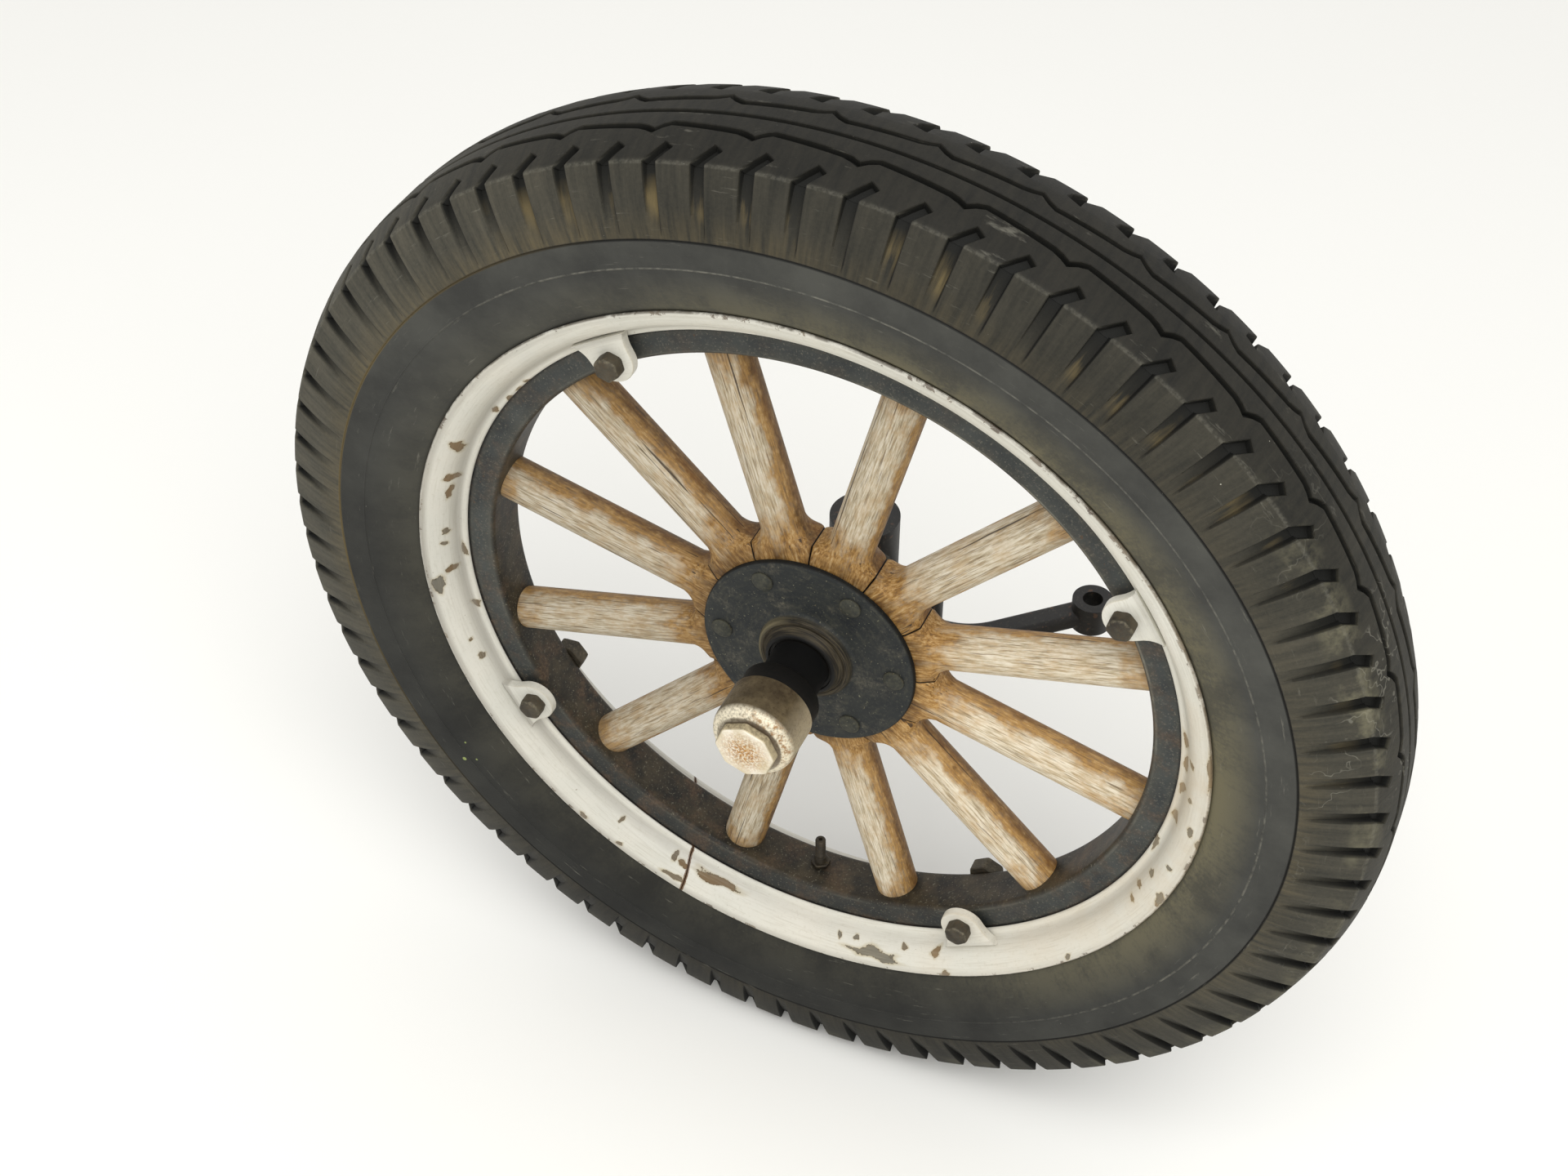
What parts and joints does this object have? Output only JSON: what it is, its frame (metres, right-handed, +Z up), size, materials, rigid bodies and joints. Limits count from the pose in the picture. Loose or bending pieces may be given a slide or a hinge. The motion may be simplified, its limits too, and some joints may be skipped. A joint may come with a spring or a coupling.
{
  "type": "wood-spoked car wheel on its stub axle",
  "caption": "Wood-spoked car wheel with a demountable split rim and balloon tyre, turning on its stub axle with steering arm.",
  "frame": {"origin": "centre of the king-pin bore in the stub axle", "axes": "+Z up along the king-pin bore, +Y toward the car's middle along the wheel's axle, +X toward the car's rear; the wheel's outer face looks toward -Y"},
  "size_m": [0.778, 0.251, 0.778],
  "materials": {
    "tyre_rubber": "weathered charcoal rubber with dust in the tread",
    "rim_enamel": "off-white enamel, chipped to brown rust at the edges",
    "felloe_enamel": "black enamel with grey dust and rust patches",
    "spoke_wood": "weathered grey-tan hickory with worn orange-brown varnish",
    "hub_enamel": "matt black enamel with grey-brown dust",
    "cap_nickel": "dull nickel plating with rust specks",
    "bolt_steel": "dark rusted steel",
    "valve_brass": "dull brass",
    "axle_enamel": "black chassis enamel, dusty",
    "bushing_bronze": "oiled bronze",
    "bearing_steel": "greased bearing steel"
  },
  "bodies": {
    "stub_axle": {"stub_axle": "axle_enamel", "upper_bushing": "bushing_bronze", "lower_bushing": "bushing_bronze", "inner_bearing": "bearing_steel", "outer_bearing": "bearing_steel", "spindle_nut": "bearing_steel", "steering_arm": "axle_enamel", "steering_arm_nut": "bolt_steel"},
    "wheel": {"tyre": "tyre_rubber", "rim": "rim_enamel", "felloe": "felloe_enamel", "rim_lug_1": "rim_enamel", "rim_lug_2": "rim_enamel", "rim_lug_3": "rim_enamel", "rim_lug_4": "rim_enamel", "lug_bolt_1": "bolt_steel", "lug_bolt_2": "bolt_steel", "lug_bolt_3": "bolt_steel", "lug_bolt_4": "bolt_steel", "spoke_01": "spoke_wood", "spoke_02": "spoke_wood", "spoke_03": "spoke_wood", "spoke_04": "spoke_wood", "spoke_05": "spoke_wood", "spoke_06": "spoke_wood", "spoke_07": "spoke_wood", "spoke_08": "spoke_wood", "spoke_09": "spoke_wood", "spoke_10": "spoke_wood", "spoke_11": "spoke_wood", "spoke_12": "spoke_wood", "hub": "hub_enamel", "hub_plate": "hub_enamel", "hub_bolt_1": "hub_enamel", "hub_bolt_2": "hub_enamel", "hub_bolt_3": "hub_enamel", "hub_bolt_4": "hub_enamel", "hub_bolt_5": "hub_enamel", "hub_bolt_6": "hub_enamel", "hub_cap": "cap_nickel", "valve_stem": "valve_brass"}
  },
  "joints": [
    {"name": "wheel_spin", "type": "hinge", "parent": "stub_axle", "child": "wheel", "pos_m": [0, -0.075, 0], "axis": [0, 1, 0], "continuous": true}
  ]
}
